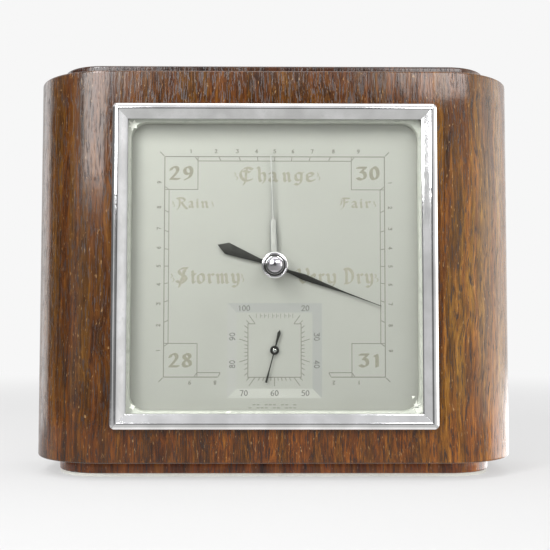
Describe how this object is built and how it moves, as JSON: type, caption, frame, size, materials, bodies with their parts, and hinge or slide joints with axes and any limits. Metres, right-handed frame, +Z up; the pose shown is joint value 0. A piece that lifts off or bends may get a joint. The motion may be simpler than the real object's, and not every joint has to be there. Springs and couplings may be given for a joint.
{
  "type": "mantel barometer",
  "caption": "Free-standing oak-veneered mantel aneroid barometer: square chromed bezel, silvered dial, set hand with knob, small dial thermometer, coupled movement inside.",
  "frame": {"origin": "middle of the object's box, at the height of the surface that it stands on", "axes": "+Z up, -Y out of the dial towards the reader, +X to the reader's right along the case's width"},
  "size_m": [0.196, 0.0628, 0.1648],
  "materials": {
    "oak_veneer": "varnished oak veneer, glossy",
    "dark_oak": "dark varnished oak, satin",
    "plywood": "bare plywood",
    "baize": "green baize",
    "chrome": "polished",
    "silvered_dial": "silvered, fine brushed",
    "cream_enamel": "cream enamel",
    "glass": "clear",
    "black_steel": "blackened",
    "nickel": "dull nickel plate",
    "brass": "lacquered brass",
    "spring_steel": "bright spring steel"
  },
  "bodies": {
    "case": {"arbor_bridge": "brass", "arbor_rear_cock": "brass", "back_panel": "plywood", "back_screw_1": "brass", "back_screw_2": "brass", "back_screw_3": "brass", "back_screw_4": "brass", "base_baize": "baize", "bezel": "chrome", "bezel_clip_1": "brass", "bezel_clip_2": "brass", "bezel_clip_3": "brass", "bezel_clip_4": "brass", "bimetal_coil": "brass", "bridge_post_left": "brass", "bridge_post_right": "brass", "capsule_rear_half": "nickel", "case_bottom_board": "oak_veneer", "case_shell": "oak_veneer", "case_top_board": "oak_veneer", "clip_screw_1": "brass", "clip_screw_2": "brass", "clip_screw_3": "brass", "clip_screw_4": "brass", "dial_glass": "glass", "dial_pillar_1": "brass", "dial_pillar_2": "brass", "dial_pillar_3": "brass", "dial_pillar_4": "brass", "dial_plate": "silvered_dial", "hairspring": "spring_steel", "hairspring_stud": "brass", "mainspring_bridge": "brass", "mainspring_fixed_leaf": "spring_steel", "movement_base_plate": "brass", "plinth": "dark_oak", "rocking_shaft_bracket": "brass", "set_hand_bush": "chrome", "set_hand_nut": "brass", "slip_frame": "cream_enamel", "thermometer_bracket": "brass", "top_cap": "dark_oak"},
    "hand_arbor": {"hand_arbor": "spring_steel", "pressure_hand": "black_steel"},
    "rocking_shaft": {"rocking_shaft": "spring_steel", "link_pin_rear": "brass"},
    "main_lever": {"main_lever": "spring_steel", "mainspring_moving_leaf": "spring_steel", "link_pin_front": "brass"},
    "link": {"link": "brass"},
    "capsule_front": {"capsule_front_half": "nickel", "capsule_nut": "brass"},
    "chain": {"chain": "spring_steel"},
    "set_hand": {"set_hand": "nickel", "set_hand_knob": "chrome"},
    "thermometer_hand": {"thermometer_arbor": "spring_steel", "thermometer_hand": "black_steel"},
    "adjusting_screw": {"adjusting_screw": "brass"}
  },
  "joints": [
    {"name": "main_lever_tilt", "type": "hinge", "parent": "case", "child": "main_lever", "pos_m": [0, -0.0005, 0.0642], "axis": [-1, 0, 0], "range_deg": [-2.42, 0.39]},
    {"name": "link_swing", "type": "hinge", "parent": "main_lever", "child": "link", "pos_m": [-0.0083, -0.0038, 0.1212], "axis": [-1, 0, 0], "range_deg": [-0.87, 5.17]},
    {"name": "capsule_slide", "type": "slide", "parent": "case", "child": "capsule_front", "axis": [0, 1, 0], "range_m": [-0.000824, 0.000149]},
    {"name": "rocking_shaft_turn", "type": "hinge", "parent": "case", "child": "rocking_shaft", "pos_m": [0, 0.0022, 0.1152], "axis": [-1, 0, 0], "range_deg": [-23.07, 3.74]},
    {"name": "chain_slide", "type": "slide", "parent": "case", "child": "chain", "axis": [0, 0, 1], "range_m": [-0.00508, 0.00083]},
    {"name": "pressure_hand_turn", "type": "hinge", "parent": "case", "child": "hand_arbor", "pos_m": [0, -0.0258, 0.0832], "axis": [0, 1, 0], "range_deg": [-264.2, 42.8]},
    {"name": "set_hand_turn", "type": "hinge", "parent": "case", "child": "set_hand", "pos_m": [0, -0.0258, 0.0832], "axis": [0, 1, 0], "continuous": true},
    {"name": "thermometer_hand_turn", "type": "hinge", "parent": "case", "child": "thermometer_hand", "pos_m": [0, -0.0258, 0.05], "axis": [0, 1, 0], "range_deg": [-158.4, 129.6]},
    {"name": "adjusting_screw_turn", "type": "hinge", "parent": "case", "child": "adjusting_screw", "pos_m": [0.0335, 0.0182, 0.0832], "axis": [0, 1, 0], "range_deg": [-360, 360]}
  ],
  "couplings": [
    {"joint": "rocking_shaft_turn", "follows": "main_lever_tilt", "ratio": 9.5},
    {"joint": "link_swing", "follows": "main_lever_tilt", "ratio": -2.1111},
    {"joint": "capsule_slide", "follows": "main_lever_tilt", "m_per_rad": 0.019},
    {"joint": "chain_slide", "follows": "main_lever_tilt", "m_per_rad": 0.1197},
    {"joint": "pressure_hand_turn", "follows": "main_lever_tilt", "ratio": 108.82}
  ]
}
